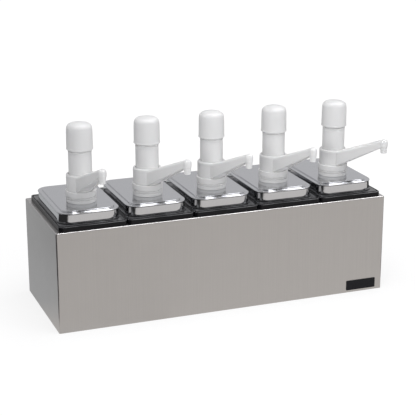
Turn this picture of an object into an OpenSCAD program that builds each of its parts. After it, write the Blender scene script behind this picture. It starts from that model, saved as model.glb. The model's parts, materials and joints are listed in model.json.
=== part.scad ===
// Five-station condiment pump dispenser.
// A sheet-metal box holds a row of drop-in jars. Each jar is closed by a pressed lid that carries a
// piston pump: a push knob slides down over the pump cylinder, and a spout head turns around its neck.
// Frame: +X along the row to the right, +Y to the back, +Z up, origin at the middle of the box's footprint.

/* [Box] */
// Length of the box along the row
box_w = 588; // [586:1:640]
// Depth of the box from front to back
box_d = 212; // [212:1:250]
// Height of the box
box_h = 171; // [165:1:200]
// Thickness of the box's sheet metal
sheet = 1.2; // [0.8:0.1:1.6]
// Outside radius of the box's upright bends
bend_r = 2.2; // [1.8:0.1:4]
// Height of the lip turned down around the top opening
hem_h = 9; // [4:1:15]
// Height of the base pan's upturned edge
pan_h = 15; // [5:1:30]

/* [Jars] */
// Distance between neighbouring jars
pitch = 115; // [115:0.1:117]
// Gap between the rims of neighbouring jars
rim_gap = 0.6; // [0.4:0.1:1.2]
// Depth of a jar's rim from front to back
rim_d = 200; // [196:1:200]
// How far the row of jars sits forward of the box's middle
row_forward = 4; // [3:0.5:5]
// Height of the rim above the box
rim_h = 8; // [6:0.5:10]
// Plan radius of the rim's corners
rim_r = 8; // [5:1:12]
// Thickness of the jar's walls
jar_wall = 2.4; // [1.8:0.1:2.6]
// Height of the jar's floor above the counter
jar_floor = 18; // [8:1:24]

/* [Lids] */
// Width of a lid across its lip
lid_w = 103.6; // [100:0.1:104.4]
// Depth of a lid from front to back
lid_d = 169.4; // [166:0.1:170]
// Height of a lid's skirt and shoulder
lid_h = 16; // [13:0.5:20]
// Plan radius of a lid's corners
lid_r = 22.5; // [20:0.5:24]
// Thickness of the lid's sheet metal
lid_sheet = 0.9; // [0.7:0.1:1]
// Height of the raised middle of a lid above its shoulder
plateau_h = 2; // [1.5:0.1:4]
// Width of the flat shoulder around the raised middle
shoulder_w = 6.7; // [5:0.1:8]

/* [Pump] */
// How far each pump stands forward of its lid's middle
pump_forward = 25; // [0:1:25]
// How far a knob travels when it is pushed
stroke = 34; // [20:0.5:34]
// Radius of the pump cylinder
cylinder_r = 19.4; // [19.2:0.1:20]
// Length of pump cylinder seen between the spout head and the raised knob
cylinder_show = 41; // [41:0.5:50]
// Radius of the push knob
knob_r = 21.8; // [21.6:0.1:23]
// Height of the push knob
knob_h = 46.2; // [42:0.1:54]
// Radius of the knob's rounded shoulder
knob_edge = 11; // [8:0.5:12]
// Radius of the lock collar's upper ring
collar_r = 25.6; // [25:0.1:27]
// Height of the lock collar
collar_h = 20.2; // [18:0.2:22]

/* [Spouts] */
// Radius of the spout head's round body
head_r = 24; // [23.5:0.1:24.5]
// Height of the spout head's round body
head_h = 26.9; // [26:0.1:29]
// Distance from the pump's axis to the nozzle's axis
reach = 109; // [90:1:114]
// How far the spout's tip stands above the body's top
tip_rise = 34; // [30:1:42]
// Height of the tip and nozzle together
tip_h = 24; // [22:1:26]
// Width of the arm where it leaves the body
arm_root_w = 26; // [22:1:30]
// Width of the arm at its tip
arm_tip_w = 13; // [12:0.5:14]
// How far each spout is turned to the right at rest, station by station
spout_turn = [3, 18, 13, 13, 25]; // [-20:1:30]

/* [Nameplate] */
// Width of the blank nameplate
plate_w = 54; // [30:1:80]
// Height of the blank nameplate
plate_h = 17; // [10:1:30]
// Distance from the nameplate to the box's right edge
plate_inset = 15; // [8:1:60]
// Distance from the nameplate to the box's bottom edge
plate_lift = 5; // [4:1:60]

/* [Hidden] */
$fn = 96;
stations = 5;
middle_station = 3;

// Pieces that every station has once; a station's number follows the piece's name in its node.
station_pieces = [
    "jar", "lid", "intake_tube", "valve_ball", "lock_collar", "spout_head",
    "pump_cylinder", "plunger", "piston_seal", "return_spring", "push_knob"
];
station_nodes = [for (piece = station_pieces, i = [1:stations]) str(piece, "_", i)];

eps = 0.05;          // gap left between pieces that touch
run = 0.06;          // radial clearance of a part that turns or slides in another

// Plan sizes of the jar and of the lid's seat
rim_w = pitch - rim_gap;
rim_plate = 2.4;     // thickness of the rim's flat top
rim_skirt = 2.2;     // thickness of the rim's outer wall
groove_in = 4;       // from the rim's front and back edges to its groove
groove_side = 1;     // from the rim's side edges to its groove
groove_w = 1.6;
groove_deep = 1.2;
seat_out = 1.8;      // how far the seat stands out beyond the lid
seat_h = 1;          // height of the seat above the rim's top
lip_out = 0.9;       // how far the lid's lip stands out beyond its skirt
lip_h = 1.6;
skirt_gap = 0.2;     // between the lid's skirt and the jar's mouth
mouth_up = 9;        // height of the mouth above the rim's top
mouth_w = lid_w - 2 * (lip_out + lid_sheet + skirt_gap);
mouth_d = lid_d - 2 * (lip_out + lid_sheet + skirt_gap);
mouth_r = lid_r - (lip_out + lid_sheet + skirt_gap);

// The opening in the box's top clears the jars' bodies all round
hole_gap = 2.2;
hole_w = (stations - 1) * pitch + mouth_w + 2 * hole_gap;
hole_d = mouth_d + 2 * (hole_gap + 2);
hole_r = 6;

row_y = -row_forward;
pump_y = row_y - pump_forward;

// Heights, from the box's top upwards
rim_z = box_h + rim_h;
seat_z = rim_z + seat_h;
shoulder_z = seat_z + lid_h;
deck_z = shoulder_z + plateau_h;
collar_z = deck_z + collar_h;
head_z = collar_z + 0.2;
head_top = head_z + head_h;
knob_z = head_top + cylinder_show;
knob_top = knob_z + knob_h;
tip_top = head_top + tip_rise;
nozzle_z = tip_top - tip_h;

// Neck, valve and cylinder
neck_r = 16.8;
bore_r = 16.5;
flange_r = 23;
flange_h = 3;
tube_r = 9.5;
tube_bore = 7;
ball_r = 6;
ball_port = 4.8;     // radius of the edge that the ball rests on
ball_room = 8.5;     // radius of the chamber around the ball
ball_lift = 3.5;
port_r = 4;
neck_top = head_top - 1.8;
valve_z = deck_z + 0.5;
cage_z = valve_z + 13.5;
cage_h = 2;
cage_bar = 1.8;
spring_floor = cage_z + cage_h + 0.5;
tube_end = jar_floor + 12;
barrel_h = 9;        // wide part of the intake tube below its flange
ball_z = valve_z + sqrt(ball_r * ball_r - ball_port * ball_port) + 0.03;

head_bore = neck_r + run;
hub_r = 20;          // part of the spout head that sits inside the collar
hub_deep = 6.7;
socket_z = head_top - 7.3;
groove_r = 19.4;     // ring channel in the head that the neck's ports open into
groove_z = head_z + 6;
groove_h = 11;
channel_r = 4;
channel_z = head_z + 11;
nozzle_r = 6;
nozzle_bore = 3.6;
tip_r = 6.8;

// Plunger and knob
ceiling_z = knob_top - 8;
cylinder_top = ceiling_z - stroke - 0.7;
plunger_r = 12;
plunger_bore = 10.4;
piston_r = 15.6;
piston_h = 8;
piston_z = neck_top + 3 + stroke;
seal_r = bore_r - 0.04;
seal_in = 13.5;
seal_h = 4;
plunger_top = ceiling_z - 1;
boss_r = 14.2;
boss_h = 14;
wire_r = 0.8;
spring_r = 9;
spring_turns = 12;

function station_x(i) = (i - middle_station) * pitch;

// Rectangle with round corners, centred on the origin.
module round_rect(w, d, r) {
    square([w - 2 * r, d], center = true);
    square([w, d - 2 * r], center = true);
    for (x = [-1, 1], y = [-1, 1])
        translate([x * (w / 2 - r), y * (d / 2 - r)]) circle(r);
}

// Upright plate with round corners, from height z0 to z1.
module slab(w, d, r, z0, z1) {
    translate([0, 0, z0]) linear_extrude(z1 - z0) round_rect(w, d, r);
}

// Upright wall of thickness t that follows a rectangle with round corners.
module wall(w, d, r, t, z0, z1) {
    translate([0, 0, z0]) linear_extrude(z1 - z0) difference() {
        round_rect(w, d, r);
        round_rect(w - 2 * t, d - 2 * t, r - t);
    }
}

// Upright round bar from height z0 to z1.
module post(r, z0, z1) {
    translate([0, 0, z0]) cylinder(r = r, h = z1 - z0);
}

// Upright round bar whose top edge is rounded by edge.
module soft_post(r, z0, z1, edge) {
    translate([0, 0, z0]) rotate_extrude() {
        square([r, z1 - z0 - edge]);
        square([r - edge, z1 - z0]);
        translate([r - edge, z1 - z0 - edge]) intersection() {
            circle(edge);
            square(edge);
        }
    }
}

// Moves a piece to the middle of a station's jar.
module at_jar(i) {
    translate([station_x(i), row_y, 0]) children();
}

// Moves a piece to a station's pump axis.
module at_pump(i) {
    translate([station_x(i), pump_y, 0]) children();
}

// Folded box with a top flange, an opening for the jars and a lip turned down around it.
module box_shell() {
    color("silver") {
        difference() {
            slab(box_w, box_d, bend_r, 0, box_h);
            slab(box_w - 2 * sheet, box_d - 2 * sheet, bend_r - sheet, -1, box_h - sheet);
            translate([0, row_y, 0]) slab(hole_w, hole_d, hole_r, 0, box_h + 1);
        }
        translate([0, row_y, 0]) wall(hole_w + 2 * sheet, hole_d + 2 * sheet, hole_r + sheet, sheet,
            box_h - hem_h, box_h - sheet / 2);
    }
}

// Flat pan that closes the box's bottom; its edge is welded inside the walls.
module base_pan() {
    pan_w = box_w - 2 * sheet - 2 * eps;
    pan_d = box_d - 2 * sheet - 2 * eps;
    pan_r = bend_r - sheet;
    color("gainsboro") difference() {
        slab(pan_w, pan_d, pan_r, 0, pan_h);
        slab(pan_w - 2 * sheet, pan_d - 2 * sheet, pan_r / 2, sheet, pan_h + 1);
    }
}

// Blank plate stuck low on the right of the front.
module nameplate() {
    plate_t = 0.6;
    corner = 1.2;
    color("black")
        translate([box_w / 2 - plate_inset - plate_w / 2, -box_d / 2, plate_lift + plate_h / 2])
            rotate([90, 0, 0]) linear_extrude(plate_t) round_rect(plate_w, plate_h, corner);
}

// Deep jar with a stepped rim that hangs on the box's top.
module jar(i) {
    seat_w = lid_w + 2 * seat_out;
    seat_d = lid_d + 2 * seat_out;
    seat_r = lid_r + seat_out;
    color("dimgray") at_jar(i) difference() {
        union() {
            slab(rim_w, rim_d, rim_r, rim_z - rim_plate, rim_z);
            wall(rim_w, rim_d, rim_r, rim_skirt, box_h, rim_z);
            slab(seat_w, seat_d, seat_r, rim_z - rim_plate, seat_z);
            slab(mouth_w, mouth_d, mouth_r, jar_floor, rim_z + mouth_up);
        }
        wall(rim_w - 2 * groove_side, rim_d - 2 * groove_in, rim_r, groove_w, rim_z - groove_deep, rim_z + 1);
        slab(mouth_w - 2 * jar_wall, mouth_d - 2 * jar_wall, mouth_r - jar_wall,
            jar_floor + jar_wall, rim_z + mouth_up + 1);
    }
}

// Pressed lid: skirt, rolled lip, shoulder and raised middle with a hole for the pump's neck.
module lid(i) {
    skirt_w = lid_w - 2 * lip_out;
    skirt_d = lid_d - 2 * lip_out;
    raised_w = lid_w - 2 * shoulder_w;
    raised_d = lid_d - 2 * shoulder_w;
    raised_r = lid_r - shoulder_w + 2;
    color("lightgray") difference() {
        at_jar(i) union() {
            wall(skirt_w, skirt_d, lid_r - lip_out, lid_sheet, seat_z + eps, shoulder_z);
            wall(lid_w, lid_d, lid_r, lip_out + lid_sheet, shoulder_z - lip_h, shoulder_z);
            difference() {
                union() {
                    slab(lid_w, lid_d, lid_r, shoulder_z - lid_sheet, shoulder_z);
                    slab(raised_w, raised_d, raised_r, shoulder_z - lid_sheet, deck_z);
                }
                slab(raised_w - 2 * lid_sheet, raised_d - 2 * lid_sheet, raised_r - lid_sheet,
                    shoulder_z - 2 * lid_sheet, deck_z - lid_sheet);
            }
        }
        at_pump(i) post(neck_r + 0.4, shoulder_z - 5, deck_z + 1);
    }
}

// Neck, flange and suction tube in one moulding, with the seat and cage of the foot valve.
module intake_tube(i) {
    flange_top = deck_z - lid_sheet - eps;
    flange_z = flange_top - flange_h;
    color("whitesmoke") at_pump(i) {
        difference() {
            union() {
                post(neck_r, flange_z - barrel_h, neck_top);
                post(flange_r, flange_z, flange_top);
                post(tube_r, tube_end, flange_z);
            }
            post(tube_bore, tube_end - 1, valve_z - 4);
            post(ball_port, tube_end, valve_z + 1);
            post(ball_room, valve_z, spring_floor + 1);
            post(spring_r + wire_r + 4.2, spring_floor, neck_top + 1);
            for (a = [45, 135])
                rotate([0, 0, a]) translate([0, 0, channel_z]) rotate([90, 0, 0])
                    cylinder(r = port_r, h = 3 * neck_r, center = true);
        }
        for (a = [0, 90])
            rotate([0, 0, a]) translate([0, 0, cage_z + cage_h / 2])
                cube([2 * ball_room + 1, cage_bar, cage_h], center = true);
    }
}

// Loose ball that closes the suction tube.
module valve_ball(i) {
    color("silver") at_pump(i) translate([0, 0, ball_z]) sphere(ball_r);
}

// Two-step ring nut that clamps the neck to the lid.
module lock_collar(i) {
    lower_r = collar_r - 0.6;
    step_z = deck_z + collar_h * 0.47;
    color("white") at_pump(i) difference() {
        union() {
            post(lower_r, deck_z, step_z + 1);
            soft_post(collar_r, step_z, collar_z, 1);
        }
        post(neck_r + run, deck_z - 1, collar_z + 1);
        post(hub_r + run, head_z - hub_deep - 0.2, collar_z + 1);
    }
}

// Tapering arm along +X: its side outline crossed with its plan outline.
module arm() {
    root_u = 20;
    under_z = tip_top - 14;
    plan_root = arm_root_w + (arm_root_w - arm_tip_w) * root_u / (reach - root_u);
    intersection() {
        rotate([90, 0, 0]) linear_extrude(2 * arm_root_w, center = true)
            polygon([
                [0, head_z], [root_u, head_z], [reach - 4, under_z], [reach, under_z],
                [reach, tip_top - 1], [reach - 5, tip_top - 1.5], [root_u, head_top - 0.5], [0, head_top - 0.5]
            ]);
        linear_extrude(2 * head_top)
            polygon([[0, -plan_root / 2], [reach, -arm_tip_w / 2], [reach, arm_tip_w / 2], [0, plan_root / 2]]);
    }
}

// Body that turns around the neck, with the arm, the nozzle and the channel inside them.
module spout_head(i) {
    channel_end = tip_top - 10;
    slope = atan2(channel_end - channel_z, reach - groove_r);
    channel_len = norm([channel_end - channel_z, reach - groove_r]);
    color("white") at_pump(i) rotate([0, 0, spout_turn[i - 1] - 90]) difference() {
        union() {
            soft_post(head_r, head_z, head_top, 3);
            post(hub_r, head_z - hub_deep, head_z + 1);
            arm();
            translate([reach, 0, 0]) soft_post(tip_r, tip_top - 15, tip_top, 3);
            translate([reach, 0, 0]) post(nozzle_r, nozzle_z, tip_top - 14);
        }
        post(head_bore, head_z - hub_deep - 1, head_top + 1);
        post(cylinder_r + run, socket_z, head_top + 1);
        post(groove_r, groove_z, groove_z + groove_h);
        translate([groove_r - 2, 0, channel_z]) rotate([0, 90 - slope, 0])
            cylinder(r = channel_r, h = channel_len);
        translate([reach, 0, 0]) post(nozzle_bore, nozzle_z - 1, channel_end + 1);
    }
}

// Tube that the knob slides over and the piston runs in; it screws onto the neck's top.
module pump_cylinder(i) {
    thread_top = neck_top + eps;
    color("white") at_pump(i) difference() {
        post(cylinder_r, socket_z + eps, cylinder_top);
        post(neck_r + run, socket_z - 1, thread_top);
        post(bore_r, thread_top - 1, cylinder_top + 1);
    }
}

// Hollow rod with the piston at its foot, plugged into the knob.
module plunger(i) {
    color("ivory") at_pump(i) difference() {
        union() {
            post(plunger_r, piston_z, plunger_top);
            post(piston_r, piston_z, piston_z + piston_h);
        }
        post(plunger_bore, piston_z - 1, plunger_top - 3);
        difference() {
            post(piston_r + 1, piston_z + 2, piston_z + 2 + seal_h);
            post(seal_in, piston_z, piston_z + piston_h);
        }
    }
}

// Ring that seals the piston in the cylinder.
module piston_seal(i) {
    color("darkgray") at_pump(i) difference() {
        post(seal_r, piston_z + 2 + eps, piston_z + 2 + seal_h - eps);
        post(seal_in + eps, piston_z, piston_z + piston_h);
    }
}

// Wire coil as one closed mesh.
module coil(r, wire, z0, z1, turns, steps, sides) {
    last = turns * steps;
    points = [
        for (k = [0:last], j = [0:sides - 1])
            let (a = 360 * k / steps, b = 360 * j / sides, ring = r + wire * cos(b))
                [ring * cos(a), ring * sin(a), z0 + (z1 - z0) * k / last + wire * sin(b)]
    ];
    skin = [
        for (k = [0:last - 1], j = [0:sides - 1], half = [0, 1])
            let (
                a = k * sides + j, b = k * sides + (j + 1) % sides,
                c = a + sides, d = b + sides
            )
                half == 0 ? [a, b, c] : [b, d, c]
    ];
    first_cap = [for (j = [1:sides - 2]) [0, j + 1, j]];
    last_cap = [for (j = [1:sides - 2]) [last * sides, last * sides + j, last * sides + j + 1]];
    polyhedron(points, concat(skin, first_cap, last_cap));
}

// Spring that lifts the knob, from the valve cage to the closed end of the plunger.
module return_spring(i) {
    color("silver") at_pump(i)
        coil(spring_r, wire_r, spring_floor + wire_r + eps, plunger_top - 3 - wire_r - eps, spring_turns, 14, 6);
}

// Domed cap with a boss inside that takes the plunger.
module push_knob(i) {
    crown_r = 70;
    crown_h = 0.9;
    flat_r = knob_r - knob_edge;
    color("white") at_pump(i) {
        difference() {
            union() {
                soft_post(knob_r, knob_z, knob_top - crown_h, knob_edge);
                post(knob_r + 0.3, knob_z, knob_z + 3);
                intersection() {
                    translate([0, 0, knob_top - crown_r]) sphere(crown_r);
                    post(flat_r, knob_top - 3, knob_top);
                }
            }
            post(cylinder_r + run, knob_z - 1, ceiling_z);
        }
        difference() {
            post(boss_r, ceiling_z - boss_h, ceiling_z + 1);
            post(plunger_r + run, ceiling_z - boss_h - 1, plunger_top + eps);
        }
    }
}

box_shell();
base_pan();
nameplate();
for (i = [1:stations]) {
    jar(i);
    lid(i);
    intake_tube(i);
    valve_ball(i);
    lock_collar(i);
    spout_head(i);
    pump_cylinder(i);
    plunger(i);
    piston_seal(i);
    return_spring(i);
    push_knob(i);
}
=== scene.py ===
"""Looks of the five-station condiment pump dispenser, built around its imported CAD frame."""

import json
import math

import bmesh
import bpy
import numpy as np
from mathutils import Matrix, Vector


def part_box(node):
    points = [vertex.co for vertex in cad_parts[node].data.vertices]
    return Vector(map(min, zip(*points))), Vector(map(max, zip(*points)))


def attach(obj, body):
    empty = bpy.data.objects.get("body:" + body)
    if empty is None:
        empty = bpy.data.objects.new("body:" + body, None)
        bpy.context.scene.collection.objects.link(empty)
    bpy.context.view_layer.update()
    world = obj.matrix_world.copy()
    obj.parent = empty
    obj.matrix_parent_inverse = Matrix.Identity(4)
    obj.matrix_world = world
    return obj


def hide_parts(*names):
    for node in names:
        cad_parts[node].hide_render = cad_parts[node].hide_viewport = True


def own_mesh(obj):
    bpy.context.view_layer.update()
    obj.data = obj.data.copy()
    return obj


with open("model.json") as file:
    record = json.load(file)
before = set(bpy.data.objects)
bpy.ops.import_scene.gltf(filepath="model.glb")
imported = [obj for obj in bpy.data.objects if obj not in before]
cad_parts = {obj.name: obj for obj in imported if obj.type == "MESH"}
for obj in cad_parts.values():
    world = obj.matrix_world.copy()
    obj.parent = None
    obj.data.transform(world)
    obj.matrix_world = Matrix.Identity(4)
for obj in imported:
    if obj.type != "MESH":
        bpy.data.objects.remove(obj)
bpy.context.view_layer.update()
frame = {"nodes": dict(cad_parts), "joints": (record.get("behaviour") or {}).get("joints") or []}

# All shapes below are written in millimetres, and meshes are scaled to metres as they are made.
MM = 0.001
STATIONS = range(1, 6)
ARC_STEPS = 6       # straight pieces in a rounded edge of a section
CORNER_STEPS = 12   # straight pieces in the plan corner of a rounded rectangle
SIDE_STEPS = 14     # straight pieces along each side of a rounded rectangle
ROUND_STEPS = 96    # straight pieces around a turned part
FLAT_FACE_WEIGHT = 80   # how strongly large faces keep their own shading


# ---------------------------------------------------------------------------------------------
# Sizes read from the frame
# ---------------------------------------------------------------------------------------------

def node_box(node):
    """Lowest and highest corner of a CAD node in millimetres."""
    low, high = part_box(node)
    return low / MM, high / MM


def joint(name):
    """The record's entry for a joint."""
    return next(entry for entry in frame["joints"] if entry["name"] == name)


def middle(node):
    """Middle of a CAD node's box, in millimetres."""
    low, high = node_box(node)
    return (low + high) / 2


def spout_turn(station):
    """Degrees that a spout is turned to the right at rest; its limits are even about straight ahead."""
    return -sum(joint(f"spout_{station}_swivel")["range_deg"]) / 2


SHELL_HIGH = node_box("box_shell")[1]
PLATE_LOW, PLATE_HIGH = node_box("nameplate")
JAR_LOW, JAR_HIGH = node_box("jar_1")
LID_LOW, LID_HIGH = node_box("lid_1")
COLLAR_LOW, COLLAR_HIGH = node_box("lock_collar_1")
CYLINDER_LOW, CYLINDER_HIGH = node_box("pump_cylinder_1")
KNOB_LOW, KNOB_HIGH = node_box("push_knob_1")
PLUNGER_HIGH = node_box("plunger_1")[1]
SPRING_LOW, SPRING_HIGH = node_box("return_spring_1")

BOX_TOP = SHELL_HIGH.z
BOX_HALF_W = SHELL_HIGH.x
BOX_HALF_D = SHELL_HIGH.y
ROW_Y = middle("jar_1").y
RIM_HALF_W = (JAR_HIGH.x - JAR_LOW.x) / 2
RIM_HALF_D = (JAR_HIGH.y - JAR_LOW.y) / 2
RIM_H = 8           # height of a jar's rim above the box
RIM_TOP = BOX_TOP + RIM_H
LID_HALF_W = (LID_HIGH.x - LID_LOW.x) / 2
LID_HALF_D = (LID_HIGH.y - LID_LOW.y) / 2
DECK = LID_HIGH.z   # top of the lid's raised middle
PLATEAU_H = 2       # height of the raised middle above the lid's shoulder
SHOULDER = DECK - PLATEAU_H
SEAT = LID_LOW.z    # where a lid stands on its jar
NECK_R = 16.8       # outside of the intake tube's neck, inside the lid, collar and spout head
COLLAR_R = (COLLAR_HIGH.x - COLLAR_LOW.x) / 2
CYLINDER_R = (CYLINDER_HIGH.x - CYLINDER_LOW.x) / 2
KNOB_R = (KNOB_HIGH.x - KNOB_LOW.x) / 2
SPRING_R = (SPRING_HIGH.x - SPRING_LOW.x) / 2
HEAD_R = 24         # outside of the spout head's body
HEAD_GAP = 0.2      # play between the lock collar and the spout head
HEAD_FOOT = COLLAR_HIGH.z + HEAD_GAP
SOCKET_H = 7.25     # how deep the pump cylinder stands in the spout head
HEAD_TOP = CYLINDER_LOW.z + SOCKET_H
TIP_TOP = node_box("spout_head_1")[1].z
NOZZLE_H = 24       # from the nozzle's mouth to the top of the spout's tip
NOZZLE_FOOT = TIP_TOP - NOZZLE_H
REACH = 109         # from the pump's axis to the nozzle's axis
PLATE_EXTRA_W = 2.4     # what the visible nameplate gains to the right of the CAD's
PLATE_EXTRA_H = 1.0     # what it gains below the CAD's


# ---------------------------------------------------------------------------------------------
# Mesh tools
# ---------------------------------------------------------------------------------------------

def soften(corners, closed=True):
    """Points of a section whose corners are rounded.

    A corner is (plan size, ..., height, cut): cut is how far from the corner its rounding starts."""
    points = []
    count = len(corners)
    for i, (*point, cut) in enumerate(corners):
        here = np.array(point, float)
        if cut == 0 or (not closed and i in (0, count - 1)):
            points.append(here)
            continue
        legs, slopes = [], []
        for neighbour in (corners[i - 1], corners[(i + 1) % count]):
            leg = np.array(neighbour[:-1], float) - here
            across = max(leg[:-1], key=abs)
            length = math.hypot(across, leg[-1])
            legs.append(leg / length)
            slopes.append((across / length, leg[-1] / length))
        cosine = slopes[0][0] * slopes[1][0] + slopes[0][1] * slopes[1][1]
        weight = math.sqrt(max(0.0, (1 - cosine) / 2))
        for t in np.linspace(0, 1, ARC_STEPS + 1):
            a, b, c = (1 - t) ** 2, 2 * weight * t * (1 - t), t ** 2
            start, end = here + cut * legs[0], here + cut * legs[1]
            points.append((a * start + b * here + c * end) / (a + b + c))
    return points


def circle_ring(radius, height, steps=ROUND_STEPS):
    """Loop of points round the Z axis."""
    angles = [2 * math.pi * k / steps for k in range(steps)]
    return [(radius * math.cos(a), radius * math.sin(a), height) for a in angles]


def rectangle_ring(half_w, half_d, radius, centre_y, height):
    """Loop of points round a rectangle with round corners."""
    corners = []
    for start, side_x, side_y in ((0, 1, 1), (90, -1, 1), (180, -1, -1), (270, 1, -1)):
        corner = []
        for k in range(CORNER_STEPS + 1):
            angle = math.radians(start + 90 * k / CORNER_STEPS)
            corner.append(np.array((
                side_x * (half_w - radius) + radius * math.cos(angle),
                centre_y + side_y * (half_d - radius) + radius * math.sin(angle),
                height,
            )))
        corners.append(corner)
    ring = []
    for corner, following in zip(corners, corners[1:] + corners[:1]):
        ring += corner
        for k in range(1, SIDE_STEPS):
            ring.append(corner[-1] + (following[0] - corner[-1]) * k / SIDE_STEPS)
    return ring


def skin(bm, rings, joined, offset=(0, 0, 0), unit=1.0):
    """Adds faces between loops of points to a bmesh.

    joined ties the last loop to the first; if not, both ends get a face."""
    shift = Vector(offset)
    loops = [[bm.verts.new((Vector(point) + shift) * unit) for point in ring] for ring in rings]
    pairs = list(zip(loops, loops[1:]))
    if joined:
        pairs.append((loops[-1], loops[0]))
    else:
        bm.faces.new(loops[0])
        bm.faces.new(loops[-1])
    for near, far in pairs:
        for j in range(len(near)):
            k = (j + 1) % len(near)
            bm.faces.new((near[j], near[k], far[k], far[j]))


def finish_mesh(bm, name):
    """Turns a bmesh into a smooth-shaded mesh with its faces turned outwards."""
    bmesh.ops.recalc_face_normals(bm, faces=bm.faces)
    mesh = bpy.data.meshes.new(name)
    bm.to_mesh(mesh)
    bm.free()
    mesh.shade_smooth()
    return mesh


def mesh_from_rings(name, rings, joined):
    """Mesh in metres, skinned over loops of points in millimetres."""
    bm = bmesh.new()
    skin(bm, rings, joined, unit=MM)
    return finish_mesh(bm, name)


def lathe(name, corners, joined=True):
    """Turned part from a section of (radius, height, cut) corners."""
    points = soften(corners, closed=joined)
    return mesh_from_rings(name, [circle_ring(*point) for point in points], joined)


def sweep(name, corners, joined=True):
    """Part whose section follows rounded rectangles.

    A corner is (half width, half depth, plan radius, centre y, height, cut)."""
    points = soften(corners, closed=joined)
    return mesh_from_rings(name, [rectangle_ring(*point) for point in points], joined)


def smoothstep(low, high, value):
    """Rises smoothly from 0 at low to 1 at high."""
    t = min(1.0, max(0.0, (value - low) / (high - low)))
    return t * t * (3 - 2 * t)


def place(mesh, name, body, material, replaced, at=(0, 0, 0)):
    """Puts a mesh into the scene as one piece of the object, riding on a CAD body in place of a CAD node."""
    piece = bpy.data.objects.new(name, mesh)
    bpy.context.scene.collection.objects.link(piece)
    piece.matrix_world = Matrix.Translation(Vector(at) * MM)
    if not mesh.materials:
        mesh.materials.append(material)
    weighted = piece.modifiers.new("even_shading", "WEIGHTED_NORMAL")
    weighted.keep_sharp = False
    weighted.weight = FLAT_FACE_WEIGHT
    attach(piece, body)
    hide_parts(replaced)
    return piece


# ---------------------------------------------------------------------------------------------
# Shapes
# ---------------------------------------------------------------------------------------------

def box_shell_mesh():
    """Folded sheet-metal box: walls, top flange and the lip turned down around the opening."""
    sheet = 1.2
    bend = 2.0
    upright_bend = 2.2
    hem = 9
    hole_half_w, hole_half_d, hole_r = 282.0, 86.9, 6
    bend_loss = 0.9     # what an upright bend's radius loses for each millimetre of inset

    def wall(inset, height, cut):
        bend_r = upright_bend - inset * bend_loss
        return (BOX_HALF_W - inset, BOX_HALF_D - inset, bend_r, 0, height, cut)

    def opening(outset, height, cut):
        return (hole_half_w + outset, hole_half_d + outset, hole_r + outset, ROW_Y, height, cut)

    return sweep("box_shell_shape", [
        wall(0, 0, 0.3),
        wall(0, BOX_TOP, bend),
        opening(0, BOX_TOP, bend),
        opening(0, BOX_TOP - hem, 0.3),
        opening(sheet, BOX_TOP - hem, 0.3),
        opening(sheet, BOX_TOP - sheet, 0.4),
        wall(sheet, BOX_TOP - sheet, 0.4),
        wall(sheet, 0, 0.3),
    ])


def nameplate_mesh():
    """Blank plate with rounded edges and a sunken face inside a narrow border, lying face up."""
    half_w = (PLATE_HIGH.x - PLATE_LOW.x) / 2 + PLATE_EXTRA_W / 2
    half_h = (PLATE_HIGH.z - PLATE_LOW.z) / 2 + PLATE_EXTRA_H / 2
    thick = PLATE_HIGH.y - PLATE_LOW.y
    corner = 1.6
    least_corner = 0.5
    border = 1.1
    slope = 0.3
    sunk = 0.15
    centre_half_h = 0.6     # half height of the strip that closes the face's middle

    def step(inset, height, cut):
        return (half_w - inset, half_h - inset, max(least_corner, corner - inset), 0, height, cut)

    return sweep("nameplate_shape", [
        step(slope, 0, 0),
        step(0, 0, 0.1),
        step(0, thick, 0.25),
        step(border, thick, 0.12),
        step(border + slope, thick - sunk, 0.12),
        step(half_h - centre_half_h, thick - sunk, 0),
    ], joined=False)


def jar_mesh():
    """Deep jar with a stepped, grooved rim that hangs on the box and a raised mouth under the lid."""
    floor = JAR_LOW.z
    wall_t = 2.4
    mouth_inset, mouth_r = 2.0, 20.5        # the mouth stands inside the lid's outline
    seat_outset, seat_r = 1.8, 24.3         # the seat reaches past it
    mouth_half_w, mouth_half_d = LID_HALF_W - mouth_inset, LID_HALF_D - mouth_inset
    seat_top = SEAT - 0.05
    mouth_top = JAR_HIGH.z
    rim_r, least_rim_r = 8, 1.5
    rim_plate, rim_skirt = 2.4, 2.2
    rim_foot = BOX_TOP + 0.02
    # the groove in the rim: how far its edges lie in from the rim's sides and from its ends
    groove_in, groove_out = (2.7, 7.3), (1.0, 4.0)
    floor_in, floor_out = (2.4, 7.0), (1.3, 4.3)
    groove_floor = RIM_TOP - 1.2
    draft = 0.25                            # how much the rim's outer wall leans in
    centre_half_w = 8       # of the loops that close the floor, whose corners fold over in the floor's plane

    def rim(side, end, height, cut):
        return (RIM_HALF_W - side, RIM_HALF_D - end, max(least_rim_r, rim_r - side), 0, height, cut)

    def seat(height, cut):
        return (LID_HALF_W + seat_outset, LID_HALF_D + seat_outset, seat_r, 0, height, cut)

    def mouth(inset, height, cut):
        return (mouth_half_w - inset, mouth_half_d - inset, mouth_r - inset, 0, height, cut)

    return sweep("jar_shape", [
        mouth(mouth_half_w - centre_half_w, floor + wall_t, 0),
        mouth(wall_t, floor + wall_t, 6),
        mouth(wall_t, mouth_top, 0.7),
        mouth(0, mouth_top, 0.7),
        mouth(0, seat_top, 0.3),
        seat(seat_top, 0.48),
        seat(RIM_TOP, 0.3),
        rim(*groove_in, RIM_TOP, 0.45),
        rim(*floor_in, groove_floor, 0.3),
        rim(*floor_out, groove_floor, 0.3),
        rim(*groove_out, RIM_TOP, 0.35),
        rim(draft, draft, RIM_TOP, 0.74),
        rim(0, 0, rim_foot, 0.4),
        rim(rim_skirt, rim_skirt, rim_foot, 0.4),
        rim(rim_skirt, rim_skirt, RIM_TOP - rim_plate, 0.8),
        mouth(0, RIM_TOP - rim_plate, 0.8),
        mouth(0, floor, 8),
        mouth(mouth_half_w - centre_half_w, floor, 0),
    ], joined=False)


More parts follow.
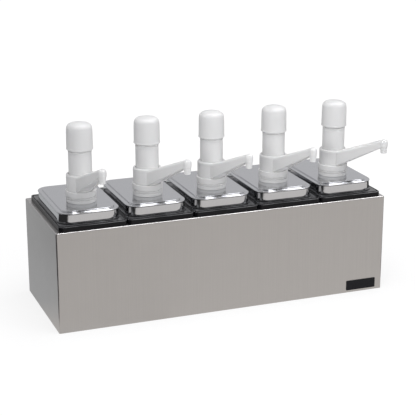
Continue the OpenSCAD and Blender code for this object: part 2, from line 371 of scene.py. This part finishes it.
def lid_mesh():
    """Pressed lid: skirt that widens to its foot, beaded lip, flat shoulder, raised middle, neck's hole."""
    sheet = 0.9
    corner = 22.5
    lip = 1.5
    lip_h = 2.4
    foot_inset = 0.4
    shoulder_w = 6.7
    raised_corner = corner - shoulder_w + 2
    deck_inset = 8          # from the raised middle's edge to where the loops start closing in on the hole
    hole_r = NECK_R + 0.4
    hole_y = middle("lock_collar_1").y - ROW_Y
    deck_loops = 10

    def outer(inset, height, cut):
        return (LID_HALF_W - inset, LID_HALF_D - inset, corner - inset, 0, height, cut)

    def raised(inset, height, cut):
        inset_all = shoulder_w + inset
        return (LID_HALF_W - inset_all, LID_HALF_D - inset_all, raised_corner - inset, 0, height, cut)

    section = soften([
        raised(deck_inset, DECK - sheet, 0),
        raised(sheet + 0.8, DECK - sheet, 0.8),
        raised(sheet - 0.6, SHOULDER - sheet, 0.8),
        outer(lip + sheet, SHOULDER - sheet, 0.8),
        outer(foot_inset + sheet, SEAT, 0.2),
        outer(foot_inset, SEAT, 0.2),
        outer(lip, SHOULDER - lip_h, 0.5),
        outer(0, SHOULDER - lip_h, 1.15),
        outer(0, SHOULDER, 1.15),
        raised(0, SHOULDER, 0.35),
        raised(0.6, DECK, 0.6),
        raised(deck_inset, DECK, 0),
    ], closed=False)
    rings = [rectangle_ring(*point) for point in section]

    def deck_rings(start):
        """Loops between the raised middle's edge and the hole, all at one height."""
        height = start[0][2]
        centre = np.array((0, hole_y, height))
        loops = []
        for k in range(1, deck_loops + 1):
            share = k / deck_loops
            loop = []
            for point in start:
                ray = point - centre
                rim_point = centre + ray * hole_r / np.linalg.norm(ray)
                loop.append(point + (rim_point - point) * share)
            loops.append(loop)
        return loops

    under = deck_rings(rings[0])
    over = deck_rings(rings[-1])
    return mesh_from_rings("lid_shape", under[::-1] + rings + over, joined=True)


def collar_mesh():
    """Ring nut: a wide band at its top, a bead between two grooves, and a slightly narrower foot."""
    foot, top = COLLAR_LOW.z, COLLAR_HIGH.z
    upper_r, lower_r = COLLAR_R, COLLAR_R - 0.7
    bead_r = COLLAR_R - 0.25
    bore = NECK_R + 0.2
    recess_r = 20.2             # room for the foot of the spout head
    recess = HEAD_FOOT - 7.0
    groove_r = lower_r - 1.5
    band_foot, bead_foot = top - 9.4, top - 12.8
    groove_h = 1.6
    return lathe("lock_collar_shape", [
        (bore, foot, 0.3),
        (lower_r - 0.4, foot, 0.3),
        (lower_r, foot + 0.8, 0.3),
        (lower_r, bead_foot - groove_h, 0.3),
        (groove_r, bead_foot - groove_h + 0.2, 0.2),
        (groove_r, bead_foot, 0.2),
        (bead_r, bead_foot, 0.4),
        (bead_r, band_foot - groove_h, 0.4),
        (groove_r, band_foot - groove_h, 0.2),
        (groove_r, band_foot, 0.2),
        (upper_r, band_foot, 0.4),
        (upper_r, top, 1.1),
        (recess_r + 1.2, top, 0.3),
        (recess_r, top - 0.8, 0.3),
        (recess_r, recess, 0.3),
        (bore, recess, 0.3),
    ])


def cylinder_mesh():
    """Pump cylinder with fine rings near its ends and an open, rounded top."""
    foot, top = CYLINDER_LOW.z, CYLINDER_HIGH.z
    bore = 16.5
    thread_r, thread_top = NECK_R + 0.1, foot + 5.45
    outer = CYLINDER_R - 0.05
    ring_floor = 0.4            # share of a ring's half height that lies at its full depth
    # each ring: height, depth, half height
    rings = (
        (HEAD_TOP + 3.0, 0.3, 0.45),
        (KNOB_LOW.z - 7.6, 0.3, 0.45),
        (KNOB_LOW.z - 6.0, 0.3, 0.45),
        (KNOB_LOW.z - 1.9, 1.5, 1.05),
    )
    corners = [(thread_r, foot, 0.2), (outer, foot, 0.4)]
    for height, deep, half in rings:
        corners += [
            (outer, height - half, 0.15),
            (outer - deep, height - half * ring_floor, 0.15),
            (outer - deep, height + half * ring_floor, 0.15),
            (outer, height + half, 0.15),
        ]
    corners += [
        (outer, top, 2.2),
        (bore, top, 0.5),
        (bore, thread_top, 0.1),
        (thread_r, thread_top, 0.1),
    ]
    return lathe("pump_cylinder_shape", corners)


def knob_mesh():
    """Domed push knob with a small lip, hollow inside, with the boss that holds the plunger."""
    foot, top = KNOB_LOW.z, KNOB_HIGH.z
    bore = CYLINDER_R + 0.35
    mouth_r, mouth_h = KNOB_R - 0.9, 3.0
    ceiling = top - 8
    boss_r, boss_h = 14.2, 14
    plug_r, plug_top = 12.06, PLUNGER_HIGH.z + 0.05
    wall_r = KNOB_R - 0.35
    lip_h, lip_top = 2.2, 2.6
    axis_r = 0.5                # radius at which the middle of the dome and of the plug is closed
    crown = 1.3                 # how far the dome's middle lies below the CAD knob's top
    # corners of the dome: distance in from the wall, distance below the top, cut
    dome = (
        (0.25, 16.0, 3.5),
        (1.0, 8.0, 3.0),
        (4.8, 4.2, 2.3),
        (11.2, 2.2, 4.0),
    )
    return lathe("push_knob_shape", [
        (axis_r, plug_top, 0),
        (plug_r, plug_top, 0.2),
        (plug_r, ceiling - boss_h, 0.3),
        (boss_r, ceiling - boss_h, 0.5),
        (boss_r, ceiling, 1.0),
        (bore, ceiling, 2.6),
        (bore, foot + mouth_h, 0.5),
        (mouth_r, foot, 0.2),
        (KNOB_R, foot, 0.4),
        (KNOB_R, foot + lip_h, 0.3),
        (wall_r, foot + lip_top, 0.3),
        *((wall_r - inward, top - drop, cut) for inward, drop, cut in dome),
        (axis_r, top - crown, 0),
    ], joined=False)


def arm_ring(u, half_w, top, foot, channel):
    """Section of the spout's arm at distance u from the pump's axis.

    It has a rounded top, a crisp foot and a channel sunk into its underside."""
    rim = min(2.6, half_w * 0.3)
    slope = 0.3
    round_top = min(5.4, half_w * 0.78)
    outline = soften([
        (half_w, foot, 0.5),
        (half_w, top, round_top),
        (-half_w, top, round_top),
        (-half_w, foot, 0.5),
        (-half_w + rim, foot, 0.3),
        (-half_w + rim + slope, foot + channel, 0.25),
        (half_w - rim - slope, foot + channel, 0.25),
        (half_w - rim, foot, 0.3),
    ])
    return [(u, across, height) for across, height in outline]


def arm_rings():
    """Sections of the arm from inside the body to inside the tip; its top runs level into the tip's dome."""
    root, end, level = 19.6, REACH, REACH - 3
    root_half_w, tip_half_w = 14.8, 6.0
    root_top, end_top = HEAD_TOP - 0.4, TIP_TOP - 0.8
    root_foot, end_foot = HEAD_FOOT, TIP_TOP - 13.0
    channel_least, channel_deep = 0.05, 3.2
    channel_start, channel_end = (24, 31), (93, 98)     # where the channel deepens and runs out
    steps = 45
    rings = []
    for k in range(steps + 1):
        share = k / steps
        u = root + (end - root) * share
        top = min(end_top, root_top + (end_top - root_top) * (u - root) / (level - root))
        foot = root_foot + (end_foot - root_foot) * share
        half_w = root_half_w + (tip_half_w - root_half_w) * share
        shown = smoothstep(*channel_start, u) * (1 - smoothstep(*channel_end, u))
        rings.append(arm_ring(u, half_w, top, foot, channel_least + channel_deep * shown))
    return rings


def spout_head_mesh():
    """Body that turns round the neck, with its arm, domed tip and nozzle melted into one moulding."""
    hub_r, hub_foot = 20.0, HEAD_FOOT - 6.7
    bore = NECK_R + 0.1
    socket_r, socket = CYLINDER_R + 0.45, HEAD_TOP - 7.7
    tip_r, tip_foot = 6.75, TIP_TOP - 12.8
    nozzle_r, collar_r = 5.35, 5.85
    outlet_r, outlet_top = 3.6, TIP_TOP - 9
    axis_r = 0.6            # the tip's loops stop this far from its axis, and melting closes the gap
    cell = 0.5              # width of the cells that the parts are melted in
    share_kept = 0.35       # share of the faces that is left after thinning out

    body = [circle_ring(*point) for point in soften([
        (bore, hub_foot, 0.4),
        (hub_r, hub_foot, 0.6),
        (hub_r, HEAD_FOOT, 0.3),
        (HEAD_R - 0.2, HEAD_FOOT, 0.6),
        (HEAD_R, HEAD_TOP, 2.8),
        (socket_r, HEAD_TOP, 1.0),
        (socket_r, socket, 0.2),
        (bore, socket, 0.2),
    ])]
    nozzle = [circle_ring(*point) for point in soften([
        (outlet_r, outlet_top, 0.5),
        (outlet_r, NOZZLE_FOOT, 0.3),
        (nozzle_r, NOZZLE_FOOT, 0.4),
        (nozzle_r, tip_foot - 5.4, 0.1),
        (collar_r, tip_foot - 4.9, 0.1),
        (collar_r, tip_foot, 0.2),
        (tip_r, tip_foot, 0.5),
        (tip_r, TIP_TOP, 5.4),
        (axis_r, TIP_TOP, 0),
        (axis_r, outlet_top, 0),
    ], closed=False)]
    bm = bmesh.new()
    skin(bm, body, joined=True)
    skin(bm, arm_rings(), joined=False)
    skin(bm, nozzle, joined=True, offset=(REACH, 0, 0))

    melt = bpy.data.objects.new("spout_head_melt", finish_mesh(bm, "spout_head_parts"))
    bpy.context.scene.collection.objects.link(melt)
    remesh = melt.modifiers.new("union", "REMESH")
    remesh.mode = "VOXEL"
    remesh.voxel_size = cell
    smooth = melt.modifiers.new("soften", "SMOOTH")
    smooth.factor = 0.5
    smooth.iterations = 3
    thin = melt.modifiers.new("thin_out", "DECIMATE")
    thin.ratio = share_kept
    graph = bpy.context.evaluated_depsgraph_get()
    mesh = bpy.data.meshes.new_from_object(melt.evaluated_get(graph))
    bpy.data.objects.remove(melt)
    mesh.name = "spout_head_shape"
    mesh.transform(Matrix.Scale(MM, 4))
    mesh.shade_smooth()
    return mesh


def spring_mesh():
    """Round wire wound into a spring whose end turns lie flat."""
    wire_r = 0.8
    turns = 12
    steps = 28
    sides = 10
    coil_r = SPRING_R - wire_r
    low, high = SPRING_LOW.z + wire_r, SPRING_HIGH.z - wire_r
    flat = 0.7          # turns at each end that lie flat
    rings = []
    for k in range(turns * steps + 1):
        turned = k / steps
        angle = 2 * math.pi * turned
        rise = min(1.0, max(0.0, (turned - flat) / (turns - 2 * flat)))
        height = low + (high - low) * rise
        across = np.array((math.cos(angle), math.sin(angle), 0))
        centre = across * coil_r + np.array((0, 0, height))
        ring = []
        for j in range(sides):
            around = 2 * math.pi * j / sides
            ring.append(centre + wire_r * (across * math.cos(around) + np.array((0, 0, math.sin(around)))))
        rings.append(ring)
    return mesh_from_rings("return_spring_shape", rings, joined=False)


# ---------------------------------------------------------------------------------------------
# Materials
# ---------------------------------------------------------------------------------------------

def add(tree, kind, inputs=None, **settings):
    """Adds a shader node; an input given as a socket is linked, and any other value is set."""
    node = tree.nodes.new("ShaderNode" + kind)
    for key, value in settings.items():
        setattr(node, key, value)
    for key, value in (inputs or {}).items():
        if isinstance(value, bpy.types.NodeSocket):
            tree.links.new(value, node.inputs[key])
        else:
            node.inputs[key].default_value = value
    return node


def maths(tree, operation, *values):
    """One step of arithmetic in a node tree."""
    return add(tree, "Math", dict(enumerate(values)), operation=operation).outputs[0]


def grey(tree, low, high, socket):
    """Maps a 0 to 1 value to the range from low to high."""
    return add(tree, "MapRange", {"Value": socket, "To Min": low, "To Max": high}).outputs[0]


def blend(tree, share, first, second):
    """Mix of two colours."""
    node = add(tree, "MixRGB", {"Fac": share, "Color1": first, "Color2": second})
    return node.outputs[0]


def colour(red, green, blue):
    """A colour with full opacity."""
    return (red, green, blue, 1.0)


def start_material(name):
    """New material with a principled shader; returns it, its tree and the shader."""
    material = bpy.data.materials.new(name)
    material.use_nodes = True
    tree = material.node_tree
    return material, tree, tree.nodes["Principled BSDF"]


def surface_place(tree):
    """Object coordinates in metres, shifted for each piece so that no two pieces share a pattern."""
    where = add(tree, "TexCoord").outputs["Object"]
    spread = 7.3
    random = add(tree, "ObjectInfo").outputs["Random"]
    shift = add(tree, "CombineXYZ", {"X": random, "Y": maths(tree, "MULTIPLY", random, spread), "Z": 0.0})
    return add(tree, "VectorMath", {0: where, 1: shift.outputs[0]}, operation="ADD").outputs[0]


def noise(tree, place_socket, scale, detail=3.0, stretch=(1, 1, 1), roughness=0.5):
    """Noise over the surface; scale is in lumps per metre and stretch multiplies it along each axis."""
    mapped = add(tree, "Mapping", {"Vector": place_socket, "Scale": stretch}).outputs[0]
    inputs = {"Vector": mapped, "Scale": scale, "Detail": detail, "Roughness": roughness}
    return add(tree, "TexNoise", inputs).outputs["Fac"]


def edge_mask(tree, low, high):
    """1 on convex edges and 0 on flat faces; low and high are the pointiness where it starts and is full."""
    pointiness = add(tree, "NewGeometry").outputs["Pointiness"]
    mapped = add(tree, "MapRange", {"Value": pointiness, "From Min": low, "From Max": high})
    return mapped.outputs[0]


def brushed_grain(tree, where):
    """Fine scratches: upright on the walls, and along the row on faces that lie flat."""
    across, along = 1500, 9     # scratches per metre across the grain, and along it
    upright = noise(tree, where, 1.0, detail=4.0, stretch=(across, across, along), roughness=0.62)
    level = noise(tree, where, 1.0, detail=4.0, stretch=(along, across, across), roughness=0.62)
    return blend(tree, flatness(tree), upright, level)


def flatness(tree):
    """1 on faces that lie flat and 0 on upright ones."""
    least_up = 0.7
    normal = add(tree, "NewGeometry").outputs["Normal"]
    up = maths(tree, "ABSOLUTE", add(tree, "SeparateXYZ", {0: normal}).outputs["Z"])
    return maths(tree, "GREATER_THAN", up, least_up)


def bump(tree, height, strength, distance):
    """Normal bent by a height pattern; distance is the pattern's depth in metres."""
    inputs = {"Height": height, "Strength": strength, "Distance": distance}
    return add(tree, "Bump", inputs).outputs[0]


def steel_material(name, tint, rough, grain_depth, upright_rough=None):
    """Stainless sheet with a brushed grain, faint clouding, smudges, and convex edges that are lighter and
    smoother.

    upright_rough is the roughness of faces that stand upright, where it differs."""
    material, tree, shader = start_material(name)
    where = surface_place(tree)
    grain = brushed_grain(tree, where)
    cloud = noise(tree, where, 9.0, detail=4.0)
    smudge = noise(tree, where, 38.0, detail=5.0, roughness=0.65)
    edge = edge_mask(tree, 0.52, 0.6)
    dark = colour(*(channel * 0.90 for channel in tint))
    light = colour(*(min(1.0, channel * 1.08) for channel in tint))
    base = blend(tree, grey(tree, 0.0, 1.0, grain), dark, light)
    base = blend(tree, grey(tree, 0.0, 0.35, cloud), base, colour(*tint))
    # convex edges lighter in colour
    base = blend(tree, maths(tree, "MULTIPLY", edge, 0.5), base, colour(0.86, 0.86, 0.85))
    lying = flatness(tree)
    mean = grey(tree, rough if upright_rough is None else upright_rough, rough, lying)
    uneven = maths(tree, "ADD", grey(tree, -0.15, 0.15, grain), grey(tree, -0.08, 0.14, smudge))
    roughness = maths(tree, "MULTIPLY_ADD", mean, uneven, mean)
    roughness = maths(tree, "MULTIPLY", roughness, grey(tree, 1.0, 0.5, edge))
    shader.inputs["Metallic"].default_value = 1.0
    tree.links.new(base, shader.inputs["Base Color"])
    tree.links.new(roughness, shader.inputs["Roughness"])
    tree.links.new(bump(tree, grain, 0.5, grain_depth), shader.inputs["Normal"])
    return material


def plastic_material(name, tint, rough, coat, scatter=0.0, shine=0.5, extra_shine=0.0, wear_and_highlight=0.02):
    """Moulded plastic: slight shade drift, fine skin texture, flow marks in the gloss, edges painted
    lighter.

    extra_shine is how much glossier edges and level faces are than upright ones.
    The last argument is how much lighter the edges are painted: a little rubbing wear, and on black plastic
    mostly a painted highlight along the edges."""
    material, tree, shader = start_material(name)
    where = surface_place(tree)
    drift = noise(tree, where, 22.0, detail=3.0)
    flow = noise(tree, where, 60.0, detail=4.0, stretch=(1, 1, 0.25))
    skin = noise(tree, where, 900.0, detail=2.0)
    edge = edge_mask(tree, 0.53, 0.62)
    shade = colour(*(channel * 0.95 for channel in tint))
    # edge colour painted lighter: a little rubbing wear, and on black plastic mostly a painted highlight
    # along the edges
    rubbed_and_highlit = colour(*(min(0.95, channel * 1.04 + wear_and_highlight) for channel in tint))
    base = blend(tree, drift, shade, colour(*tint))
    base = blend(tree, maths(tree, "MULTIPLY", edge, 0.5), base, rubbed_and_highlit)
    tree.links.new(base, shader.inputs["Base Color"])
    tree.links.new(grey(tree, rough - 0.06, rough + 0.08, flow), shader.inputs["Roughness"])
    tree.links.new(bump(tree, skin, 0.35, 0.00002), shader.inputs["Normal"])
    gloss = maths(tree, "MAXIMUM", edge, maths(tree, "MULTIPLY", flatness(tree), 0.6))
    for socket, least in (("Specular IOR Level", shine), ("Coat Weight", coat)):
        most = min(1.0, least + extra_shine)
        tree.links.new(grey(tree, least, most, gloss), shader.inputs[socket])
    shader.inputs["Coat Roughness"].default_value = 0.15
    if scatter:
        shader.inputs["Subsurface Weight"].default_value = scatter
        shader.inputs["Subsurface Radius"].default_value = (1.0, 0.95, 0.9)
        shader.inputs["Subsurface Scale"].default_value = 0.0012
    return material


def rubber_material(name, tint):
    """Matt rubber with a dusty, uneven skin."""
    material, tree, shader = start_material(name)
    where = surface_place(tree)
    dust = noise(tree, where, 180.0, detail=5.0)
    grainy = noise(tree, where, 1600.0, detail=3.0)
    dusty = colour(*(channel * 1.5 for channel in tint))
    base = blend(tree, grey(tree, 0.0, 0.5, dust), colour(*tint), dusty)
    tree.links.new(base, shader.inputs["Base Color"])
    tree.links.new(grey(tree, 0.6, 0.8, dust), shader.inputs["Roughness"])
    tree.links.new(bump(tree, grainy, 0.4, 0.00004), shader.inputs["Normal"])
    return material


# black plastic's edges are painted much lighter, as a painted highlight along them
BLACK_LOOK = {"rough": 0.2, "coat": 0.0, "shine": 0.2, "extra_shine": 0.9, "wear_and_highlight": 0.14}
WHITE_LOOK = {"rough": 0.36, "coat": 0.2, "scatter": 0.12}
NATURAL_LOOK = {"rough": 0.42, "coat": 0.0, "scatter": 0.2}
PLATE_LOOK = {"rough": 0.22, "coat": 0.0, "shine": 0.2}
SHEET_LOOK = {"rough": 0.34, "grain_depth": 0.00003}
POLISHED_LOOK = {"rough": 0.15, "grain_depth": 0.00001, "upright_rough": 0.08}
SPRING_LOOK = {"rough": 0.25, "grain_depth": 0.00001}

MATERIALS = {
    "brushed_steel": steel_material("brushed_steel", (0.62, 0.603, 0.588), **SHEET_LOOK),
    "polished_steel": steel_material("polished_steel", (0.67, 0.675, 0.69), **POLISHED_LOOK),
    "spring_steel": steel_material("spring_steel", (0.62, 0.62, 0.63), **SPRING_LOOK),
    "black_plastic": plastic_material("black_plastic", (0.006, 0.006, 0.007), **BLACK_LOOK),
    "white_plastic": plastic_material("white_plastic", (0.86, 0.86, 0.855), **WHITE_LOOK),
    "natural_plastic": plastic_material("natural_plastic", (0.80, 0.79, 0.75), **NATURAL_LOOK),
    "seal_rubber": rubber_material("seal_rubber", (0.25, 0.25, 0.26)),
    "plate_black": plastic_material("plate_black", (0.009, 0.0095, 0.012), **PLATE_LOOK),
}


# ---------------------------------------------------------------------------------------------
# Putting the object together
# ---------------------------------------------------------------------------------------------

def dress(node, slot):
    """Gives a CAD node that stays visible its material."""
    mesh = frame["nodes"][node].data
    mesh.materials.clear()
    mesh.materials.append(MATERIALS[slot])


def build_nameplate():
    """Stands the nameplate up against the front of the box."""
    plate = bpy.data.objects.new("nameplate_shape", nameplate_mesh())
    bpy.context.scene.collection.objects.link(plate)
    centre = middle("nameplate") + Vector((PLATE_EXTRA_W / 2, 0, -PLATE_EXTRA_H / 2))
    back = Vector((centre.x, PLATE_HIGH.y, centre.z)) * MM
    plate.matrix_world = Matrix.Translation(back) @ Matrix.Rotation(math.pi / 2, 4, "X")
    plate.data.materials.append(MATERIALS["plate_black"])
    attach(plate, "base")
    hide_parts("nameplate")


def build_box():
    """Box, nameplate and base pan."""
    slot = "brushed_steel"
    place(box_shell_mesh(), "box_shell_shape", "base", MATERIALS[slot], "box_shell")
    build_nameplate()
    dress("base_pan", slot)


def build_stations():
    """Five jars with their lids and pumps; shapes are made once, and the spout heads are turned copies."""
    kinds = (
        # piece, mesh, body, slot, whether it stands on the pump's axis and whether it turns with the spout
        ("jar", jar_mesh(), "jar", "black_plastic", False, False),
        ("lid", lid_mesh(), "lid", "polished_steel", False, False),
        ("lock_collar", collar_mesh(), "lid", "white_plastic", True, False),
        ("pump_cylinder", cylinder_mesh(), "lid", "white_plastic", True, False),
        ("spout_head", spout_head_mesh(), "spout", "white_plastic", True, True),
        ("push_knob", knob_mesh(), "knob", "white_plastic", True, False),
        ("return_spring", spring_mesh(), "lid", "spring_steel", True, False),
    )
    for station in STATIONS:
        jar_x = middle(f"jar_{station}").x
        pump_y = middle(f"lock_collar_{station}").y
        for piece, mesh, body, slot, on_pump, turns in kinds:
            if turns:
                mesh = mesh.copy()
                mesh.transform(Matrix.Rotation(math.radians(spout_turn(station) - 90), 4, "Z"))
            node = f"{piece}_{station}"
            at = (jar_x, pump_y if on_pump else ROW_Y, 0)
            shape = place(mesh, f"{node}_shape", f"{body}_{station}", MATERIALS[slot], node, at)
            if piece == "return_spring":
                squash_spring(shape)
        dress(f"intake_tube_{station}", "natural_plastic")
        dress(f"valve_ball_{station}", "spring_steel")
        dress(f"plunger_{station}", "natural_plastic")
        dress(f"piston_seal_{station}", "seal_rubber")


def squash_spring(spring):
    """Gives a spring its own copy of its mesh."""
    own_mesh(spring)


build_box()
build_stations()


# ---------------------------------------------------------------------------------------------
# Studio
# ---------------------------------------------------------------------------------------------

WHITE = colour(1, 1, 1)
BACKDROP_STRENGTH = 1.05    # just over white, so that the backdrop shows no grain


def band(tree, value, low, high, soft):
    """1 where a value lies between low and high, fading to 0 over a soft edge outside them."""
    rise = add(tree, "MapRange", {"Value": value, "From Min": low - soft, "From Max": low}).outputs[0]
    fall = add(tree, "MapRange", {"Value": value, "From Min": high + soft, "From Max": high}).outputs[0]
    return maths(tree, "MULTIPLY", rise, fall)


def painted_ground_reflection(tree):
    """What mirrors see of the floor, painted as a glowing ground: warm grey, cooler behind the left end, and
    painted dark patches by both ends that mirror as shade; no cloths stand there.
    """
    position = add(tree, "NewGeometry").outputs["Position"]
    parts = add(tree, "SeparateXYZ", {0: position}).outputs
    x, y = parts["X"], parts["Y"]
    tone = colour(0.69, 0.668, 0.652)
    cool = colour(0.48, 0.49, 0.50)
    black = colour(0.015, 0.015, 0.016)
    dark = colour(0.03, 0.03, 0.03)
    # painted reflection patches: dark and cool places that only mirrors see
    zones = (
        # colour, x range, y range, softness
        (cool, (-6.0, -0.3), (0.05, 6.0), 0.2),
        (black, (-1.3, -0.37), (-0.8, -0.05), 0.03),
        (black, (-1.8, -0.53), (-0.2, 0.46), 0.02),
        (dark, (0.38, 1.2), (-0.17, 0.5), 0.03),
        (dark, (-8.0, -1.0), (-3.0, 3.0), 0.1),
    )
    for zone_tone, across, along, soft in zones:
        share = maths(tree, "MULTIPLY", band(tree, x, *across, soft), band(tree, y, *along, soft))
        tone = blend(tree, share, tone, zone_tone)
    return tone


def build_floor():
    """Pale floor whose material differs for the camera, for mirrors and for light that bounces off it."""
    size = 40.0
    gap = 0.0003
    mesh = bpy.data.meshes.new("floor")
    corners = [(-size, -size, -gap), (size, -size, -gap), (size, size, -gap), (-size, size, -gap)]
    mesh.from_pydata(corners, [], [(0, 1, 2, 3)])
    floor = bpy.data.objects.new("floor", mesh)
    bpy.context.scene.collection.objects.link(floor)
    mesh.materials.append(floor_material())


def floor_material():
    """The camera sees white with a faint shadow near the object; mirrors see a painted, glowing ground."""
    shadow_depth, lift_strength = 0.28, 0.77
    shadow_start, shadow_end = 0.35, 0.8    # distance from the origin where the shadow fades out
    bounce_grey = 0.8
    material = bpy.data.materials.new("floor")
    material.use_nodes = True
    tree = material.node_tree
    tree.nodes.clear()
    white = add(tree, "Emission", {"Color": WHITE, "Strength": BACKDROP_STRENGTH})
    lit = add(tree, "BsdfDiffuse", {"Color": colour(shadow_depth, shadow_depth, shadow_depth)})
    lift = add(tree, "Emission", {"Color": WHITE, "Strength": lift_strength})
    near = add(tree, "AddShader", {0: lit.outputs[0], 1: lift.outputs[0]})
    position = add(tree, "NewGeometry").outputs["Position"]
    distance = add(tree, "VectorMath", {0: position}, operation="LENGTH").outputs["Value"]
    fade = {"Value": distance, "From Min": shadow_start, "From Max": shadow_end}
    far = add(tree, "MapRange", fade).outputs[0]
    seen = add(tree, "MixShader", {"Fac": far, 1: near.outputs[0], 2: white.outputs[0]})
    bounced = add(tree, "BsdfDiffuse", {"Color": colour(bounce_grey, bounce_grey, bounce_grey)})
    # painted reflection: mirrors see this glowing, painted ground instead of the lit floor
    painted_reflection = add(tree, "Emission", {"Color": painted_ground_reflection(tree)})
    rays = add(tree, "LightPath").outputs
    glossy, camera = rays["Is Glossy Ray"], rays["Is Camera Ray"]
    mixed = add(tree, "MixShader", {"Fac": glossy, 1: bounced.outputs[0], 2: painted_reflection.outputs[0]})
    mixed = add(tree, "MixShader", {"Fac": camera, 1: mixed.outputs[0], 2: seen.outputs[0]})
    output = add(tree, "OutputMaterial")
    tree.links.new(mixed.outputs[0], output.inputs["Surface"])
    return material


def room_light(tree, view):
    """Brightness of what mirrors see around the object; view is the direction they look in.

    The room is dimmer on the left. It has a faint screen at the back, two overlapping strips of light on
    the ceiling that flat lids don't catch from above, and a dark wall in front."""
    room_left, room_right = 0.36, 0.50
    screen_strength = 0.08
    strip_strength = 3.8
    wall_share = 0.15
    parts = add(tree, "SeparateXYZ", {0: view}).outputs
    x, y, z = (parts[axis] for axis in "XYZ")
    sideways = {"Value": x, "From Min": -0.9, "From Max": 0.6, "To Min": room_left, "To Max": room_right}
    room = add(tree, "MapRange", sideways).outputs[0]
    screen = maths(tree, "MULTIPLY", band(tree, y, 0.5, 2.0, 0.4), band(tree, z, -1.0, 0.45, 0.3))
    right = maths(tree, "MULTIPLY", band(tree, x, 0.24, 0.6, 0.04), band(tree, y, -0.45, 0.35, 0.05))
    front = maths(tree, "MULTIPLY", band(tree, x, 0.12, 0.6, 0.05), band(tree, y, -0.64, -0.05, 0.05))
    strips = maths(tree, "MAXIMUM", right, front)
    ceiling = maths(tree, "MULTIPLY", strips, band(tree, z, 0.72, 2.0, 0.05))
    lit = maths(tree, "MULTIPLY_ADD", ceiling, strip_strength, room)
    lit = maths(tree, "MULTIPLY_ADD", screen, screen_strength, lit)
    wall = maths(tree, "MULTIPLY", band(tree, y, -2.0, -0.6, 0.15), band(tree, z, 0.03, 0.4, 0.06))
    return maths(tree, "MULTIPLY", lit, grey(tree, 1.0, wall_share, wall))


def soft_light(tree, view):
    """Brightness that matt faces get from each direction: strongest from the front."""
    brightest = (0.2, -0.92, 0.33)
    least, most = 0.10, 0.68
    share = add(tree, "VectorMath", {0: view, 1: brightest}, operation="DOT_PRODUCT").outputs["Value"]
    facing = {"Value": share, "From Min": -0.8, "From Max": 1.0, "To Min": least, "To Max": most}
    return add(tree, "MapRange", facing).outputs[0]


def build_world():
    """White backdrop for the camera, a studio room for mirrors and a soft light for everything else."""
    cool_white = colour(1.0, 1.0, 1.03)
    world = bpy.data.worlds.new("studio")
    bpy.context.scene.world = world
    world.use_nodes = True
    tree = world.node_tree
    tree.nodes.clear()
    view = add(tree, "TexCoord").outputs["Generated"]
    mirrored = room_light(tree, view)
    soft = soft_light(tree, view)
    rays = add(tree, "LightPath").outputs
    not_scattered = maths(tree, "LESS_THAN", rays["Diffuse Depth"], 0.5)
    direct = maths(tree, "MULTIPLY", rays["Is Glossy Ray"], not_scattered)
    level = add(tree, "MapRange", {"Value": direct, "To Min": soft, "To Max": mirrored}).outputs[0]
    around = add(tree, "Background", {"Color": cool_white, "Strength": level}).outputs[0]
    backdrop = add(tree, "Background", {"Color": WHITE, "Strength": BACKDROP_STRENGTH}).outputs[0]
    mixed = add(tree, "MixShader", {"Fac": rays["Is Camera Ray"], 1: around, 2: backdrop})
    output = add(tree, "OutputWorld")
    tree.links.new(mixed.outputs[0], output.inputs["Surface"])


def softbox(name, stands_at, aim, width, height, power, spread=180):
    """Soft light aimed at a point and left out of reflections; metres, watts and degrees."""
    light = bpy.data.lights.new(name, "AREA")
    light.shape = "RECTANGLE"
    light.size = width
    light.size_y = height
    light.energy = power
    light.spread = math.radians(spread)
    lamp = bpy.data.objects.new(name, light)
    bpy.context.scene.collection.objects.link(lamp)
    lamp.visible_glossy = False
    lamp.location = stands_at
    lamp.rotation_mode = "QUATERNION"
    lamp.rotation_quaternion = (Vector(aim) - Vector(stands_at)).to_track_quat("-Z", "Y")


def build_camera():
    """Long lens that looks down on the front and the left end; metres, and millimetres for the lens."""
    azimuth, elevation = math.radians(-21.0), math.radians(17.3)
    stands_at = (-0.7425, -1.9471, 0.7999)
    focal_length, sensor_width = 108.3, 36
    back = Vector((
        math.sin(azimuth) * math.cos(elevation),
        -math.cos(azimuth) * math.cos(elevation),
        math.sin(elevation),
    ))
    lens = bpy.data.cameras.new("camera")
    lens.lens = focal_length
    lens.sensor_width = sensor_width
    camera = bpy.data.objects.new("camera", lens)
    bpy.context.scene.collection.objects.link(camera)
    camera.location = stands_at
    camera.rotation_mode = "QUATERNION"
    camera.rotation_quaternion = (-back).to_track_quat("-Z", "Y")
    bpy.context.scene.camera = camera


def build_lights():
    """One large softbox overhead and two small, narrow ones in front."""
    softbox("overhead", (0.0, -0.3, 2.4), (0, 0, 0.1), width=2.2, height=1.8, power=29)
    small = {"width": 0.4, "height": 0.4, "spread": 40}
    softbox("right_front", (0.9, -1.2, 0.8), (-0.3, 0, 0.25), power=0.12, **small)
    softbox("left_front", (-0.9, -1.3, 0.6), (0.5, 0.1, 0.25), power=0.35, **small)


bpy.context.scene.view_settings.view_transform = "Standard"
build_floor()
build_world()
build_lights()
build_camera()
